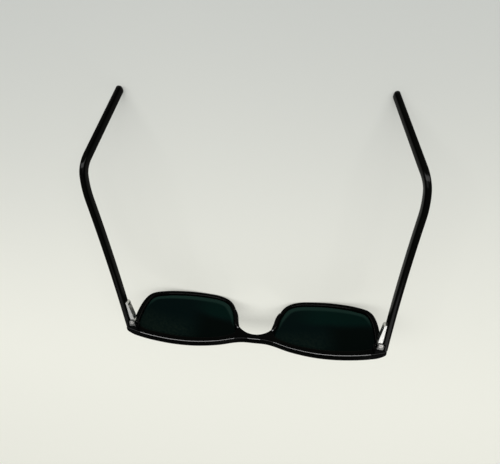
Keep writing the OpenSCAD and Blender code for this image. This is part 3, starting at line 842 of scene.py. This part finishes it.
# Temples
bend_len = BEND_R * math.radians(BEND_DEG)
temple_len = TEMPLE_RUN + bend_len + TIP_RUN
PATH_STEPS = 400


def yaw(m):
    """Turn to the outside at m, the distance along the temple's upper outer edge."""
    turn_from = TURN_START * TEMPLE_RUN
    share = clip((m - turn_from) / (bend_len + TEMPLE_RUN - turn_from), 0, 1)
    return math.radians(BOW_DEG * min(m / TEMPLE_RUN, 1) - TIP_IN_DEG * share)


def fall(m):
    """Turn downward at m, which makes the bend."""
    return -math.radians(BEND_DEG) * clip((m - TEMPLE_RUN) / bend_len, 0, 1)


def heading(m):
    """Direction of the temple's upper outer edge at m."""
    return np.array([math.sin(yaw(m)) * math.cos(fall(m)),
                     math.cos(yaw(m)) * math.cos(fall(m)), math.sin(fall(m))])


# Upper outer edge of a temple, in its hinge's frame
step = temple_len / PATH_STEPS
path = [np.array([temple_out, RUN_GAP - HINGE_BACK, TEMPLE_H / 2 - HINGE_UP])]
for i in range(PATH_STEPS):
    path.append(path[-1] + step * heading((i + 0.5) * step))


def edge_at(m):
    """Place of that edge at m."""
    i = min(int(m / step), PATH_STEPS - 1)
    return mix(path[i], path[i + 1], m / step - i)


def thick(m):
    return mix(TEMPLE_T, TIP_T, m / temple_len)


def tall(m):
    if m < FALL_LEN:
        return mix(TEMPLE_H, RUN_H, math.sin(math.pi / 2 * m / FALL_LEN))
    return mix(RUN_H, TIP_H, (m - FALL_LEN) / (temple_len - FALL_LEN))


def end_round(m):
    """Share of a section that the round end takes from each side."""
    q = clip(1 - (temple_len - m) / (TIP_H / 2), 0, 1)
    return (1 - math.sqrt(1 - q * q)) / 2


def temple_ring(m, inner, shrink):
    """Section of a temple at m, from its outer face to inner, moved in by shrink. Beside
    the hinge its inner edges are cut sharp."""
    e, y, f = edge_at(m), yaw(m), fall(m)
    side = np.array([-math.cos(y), math.sin(y), math.tan(y) * math.tan(f)])
    down = np.array([0, math.sin(f), -math.cos(f)])
    k = end_round(m)
    far_r = EDGE_R if inner == thick(m) else NOTCH_R
    section = shrunk(rounded_box((inner * k, inner * (1 - k)), (tall(m) * k, tall(m) * (1 - k)),
                                 EDGE_R, far_r), shrink)
    return [e + side * a + down * b for a, b in section]


# Notch beside the knuckles, and the step at its end
notch_w = temple_out - KNUCKLE_R - NOTCH_GAP
notch_l = KNUCKLE_R + HOUSING_GAP + HINGE_BACK - RUN_GAP
NOTCH_STEP = 0.02
# Sections from behind the notch to just before the round end, and those in that end. Each is
# marked by its place along the temple, its inner face and how far it is moved in.
RUN_FROM, RUN_MARKS, RUN_TO = 4.5, 90, temple_len - TIP_H / 2 - 0.5
TIP_MARKS, TIP_END = 9, 0.002
tip_marks = [temple_len - TIP_H / 2 * (1 - math.sin(math.pi / 2 * k / TIP_MARKS))
             for k in range(TIP_MARKS)] + [temple_len - TIP_END]
marks = ([(t, notch_w, g) for g, t in arc(END_R, END_STEPS)]
         + [(notch_l, notch_w, 0), (notch_l + NOTCH_STEP, thick(notch_l), 0)]
         + [(m, thick(m), 0) for m in np.linspace(RUN_FROM, RUN_TO, RUN_MARKS)]
         + [(m, thick(m), 0) for m in tip_marks])
# Least part of a normal that points at the other temple, on the inner face
INNER_FACE = 0.35
for side, way in SIDES.items():
    temple = Solid()
    temple.skin([temple.add(temple_ring(m, inner, shrink)) for m, inner, shrink in marks],
                capped=True)
    piece = temple.mesh(f"temple_{side}_skin", hinge_frame(side), f"temple_{side}",
                        "frame_plastic", temple_plastic)
    own_look(piece, inner_plastic, lambda n, at: way * n.x < -INNER_FACE)
    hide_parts(f"temple_{side}")


# Metal parts keep their solids, with softened edges. For each: its material, the width of
# its rounded edges in millimetres, and the turn in degrees from which faces look separate.
METAL_PARTS = {"front_hinge_leaf": (leaf_metal, 0.12, 13),
               "hinge_housing": (hinge_metal, 0.12, 5),
               "hinge_slider": (hinge_metal, 0.1, 13),
               "slider_stop": (hinge_metal, 0.05, 13),
               "hinge_screw": (screw_metal, 0.05, 13),
               "core_wire": (core_metal, 0.1, 13)}
# Least angle between two faces whose edge is rounded
BEVEL_FROM = math.radians(40)


def soften_edges(piece, width, sharp):
    """Rounds the edges of a CAD node by modifiers, width in millimetres, and shades faces
    apart that turn by more than sharp degrees."""
    weld = piece.modifiers.new("weld", "WELD")
    weld.merge_threshold = TOUCHING
    bevel = piece.modifiers.new("bevel", "BEVEL")
    bevel.width = width * MM
    bevel.segments = 2
    bevel.limit_method = "ANGLE"
    bevel.angle_limit = BEVEL_FROM
    bevel.use_clamp_overlap = False
    split = piece.modifiers.new("split", "EDGE_SPLIT")
    split.split_angle = math.radians(sharp)
    piece.data.shade_smooth()


for side in SIDES:
    for part, (material, width, sharp) in METAL_PARTS.items():
        piece = frame["nodes"][f"{part}_{side}"]
        piece.data.materials.clear()
        piece.data.materials.append(material)
        soften_edges(piece, width, sharp)


# Springs, which push the temple forward from the slider's collar
for side in SIDES:
    solid = frame["nodes"][f"hinge_spring_{side}"]
    data = solid.data.copy()
    data.transform(solid.matrix_world)
    data.materials.clear()
    data.materials.append(spring_steel)
    tidy_mesh(data, sharp=60)
    coil = bpy.data.objects.new(f"spring_coil_{side}", data)
    bpy.context.scene.collection.objects.link(coil)
    along = hinge_frame(side).col[1].xyz
    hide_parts(f"hinge_spring_{side}")
    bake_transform(coil)


# Floor, light and camera
HALF_FLOOR = 3.0
floor_data = bpy.data.meshes.new("floor")
floor_data.from_pydata([(x * HALF_FLOOR, y * HALF_FLOOR, 0)
                        for x, y in ((-1, -1), (1, -1), (1, 1), (-1, 1))],
                       [], [(0, 1, 2, 3)])
floor = bpy.data.objects.new("floor", floor_data)
bpy.context.scene.collection.objects.link(floor)
floor_data.materials.append(floor_paper("floor_paper"))


# Place among the glasses that the lamps are turned to
MIDDLE = Vector((0, 0.04, 0.02))


def soft_lamp(name, at, size, radiance):
    """Rectangular lamp whose face has the given radiance and is turned to the glasses."""
    data = bpy.data.lights.new(name, "AREA")
    data.shape = "RECTANGLE"
    data.size, data.size_y = size
    data.energy = radiance * math.pi * size[0] * size[1]
    lamp = bpy.data.objects.new(name, data)
    lamp.location = at
    lamp.rotation_euler = (MIDDLE - Vector(at)).to_track_quat("-Z", "Y").to_euler()
    bpy.context.scene.collection.objects.link(lamp)


soft_lamp("overhead", (0.0, 0.30, 1.30), (1.0, 0.6), 1.3)
soft_lamp("key", (-0.05, 0.64, 1.16), (2.2, 0.4), 6.3)
soft_lamp("left_front", (0.30, -0.68, 0.79), (0.22, 0.5), 2.0)
soft_lamp("right_front", (-0.47, -0.63, 0.76), (0.22, 0.5), 0.8)

WORLD_COLOUR, WORLD_STRENGTH = (0.98, 1.0, 0.97), 0.24
world = bpy.data.worlds.new("studio")
bpy.context.scene.world = world
world.use_nodes = True
background = world.node_tree.nodes["Background"]
background.inputs["Color"].default_value = (*WORLD_COLOUR, 1)
background.inputs["Strength"].default_value = WORLD_STRENGTH

# Camera of the photograph, in the frame in which the glasses are worn
PHOTO_W, PHOTO_H = 500, 464
FOCAL_PX = 385.8
CENTRE_Y = 190.5
SENSOR = 36.0
CAMERA_AT = (19.44, 157.62, 164.07)
CAMERA_AXES = ((0.9916, 0.0061, -0.129), (-0.0516, 0.9344, -0.3525), (0.1183, 0.3562, 0.9269))
camera_data = bpy.data.cameras.new("camera")
camera_data.sensor_width = SENSOR
camera_data.lens = SENSOR * FOCAL_PX / PHOTO_W
camera_data.shift_y = (CENTRE_Y - PHOTO_H / 2) / PHOTO_W
camera_data.clip_start = 0.01
camera = bpy.data.objects.new("camera", camera_data)
bpy.context.scene.collection.objects.link(camera)
pose = Matrix([Vector(a) for a in CAMERA_AXES]).transposed().to_4x4()
pose.translation = CAMERA_AT
pose = Matrix.Translation((0, 0, rest_z)) @ Matrix.Rotation(-rest_turn, 4, "X") @ pose
pose.translation *= MM
camera.matrix_world = pose
bpy.context.scene.camera = camera
bpy.context.scene.view_settings.view_transform = "Standard"
